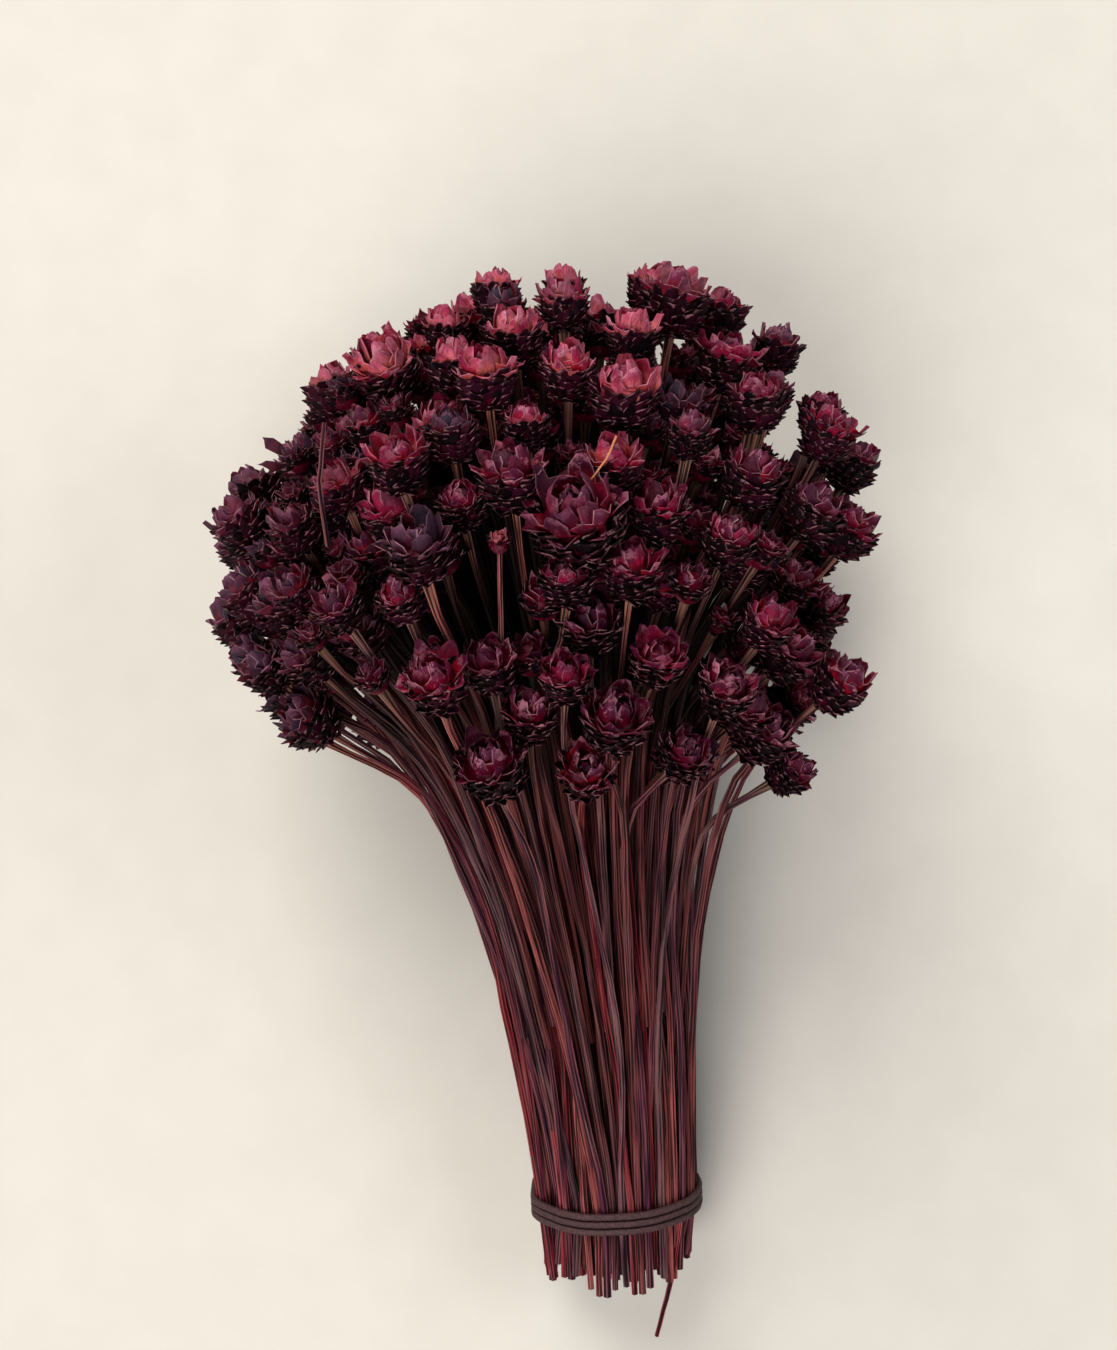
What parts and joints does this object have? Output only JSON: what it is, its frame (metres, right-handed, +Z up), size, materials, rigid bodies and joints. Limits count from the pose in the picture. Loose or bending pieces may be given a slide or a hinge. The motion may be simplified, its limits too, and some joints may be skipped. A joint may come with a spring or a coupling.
{
  "type": "dried strawflower bunch",
  "caption": "Dense bunch of small dried strawflowers with papery pointed bracts, tied low on the stems and lying on its side.",
  "frame": {"origin": "middle of the bottom of the bounding box, on the surface the bunch lies on", "axes": "+Y along the bunch from the cut stem ends to the heads, +Z up"},
  "size_m": [0.1606, 0.2486, 0.1305],
  "materials": {
    "dried_flower": "matte",
    "tie": "matte"
  },
  "bodies": {
    "root": {"spray_01": "dried_flower", "spray_02": "dried_flower", "spray_03": "dried_flower", "spray_04": "dried_flower", "spray_05": "dried_flower", "spray_06": "dried_flower", "spray_07": "dried_flower", "spray_08": "dried_flower", "spray_09": "dried_flower", "spray_10": "dried_flower", "spray_11": "dried_flower", "spray_12": "dried_flower", "spray_13": "dried_flower", "spray_14": "dried_flower", "spray_15": "dried_flower", "spray_16": "dried_flower", "spray_17": "dried_flower", "spray_18": "dried_flower", "spray_19": "dried_flower", "spray_20": "dried_flower", "spray_21": "dried_flower", "spray_22": "dried_flower", "spray_23": "dried_flower", "spray_24": "dried_flower", "spray_25": "dried_flower", "spray_26": "dried_flower", "spray_27": "dried_flower", "spray_28": "dried_flower", "spray_29": "dried_flower", "spray_30": "dried_flower", "spray_31": "dried_flower", "spray_32": "dried_flower", "spray_33": "dried_flower", "spray_34": "dried_flower", "spray_35": "dried_flower", "spray_36": "dried_flower", "spray_37": "dried_flower", "spray_38": "dried_flower", "spray_39": "dried_flower", "spray_40": "dried_flower", "spray_41": "dried_flower", "spray_42": "dried_flower", "spray_43": "dried_flower", "spray_44": "dried_flower", "spray_45": "dried_flower", "spray_46": "dried_flower", "spray_47": "dried_flower", "tie_band": "tie"}
  },
  "joints": []
}
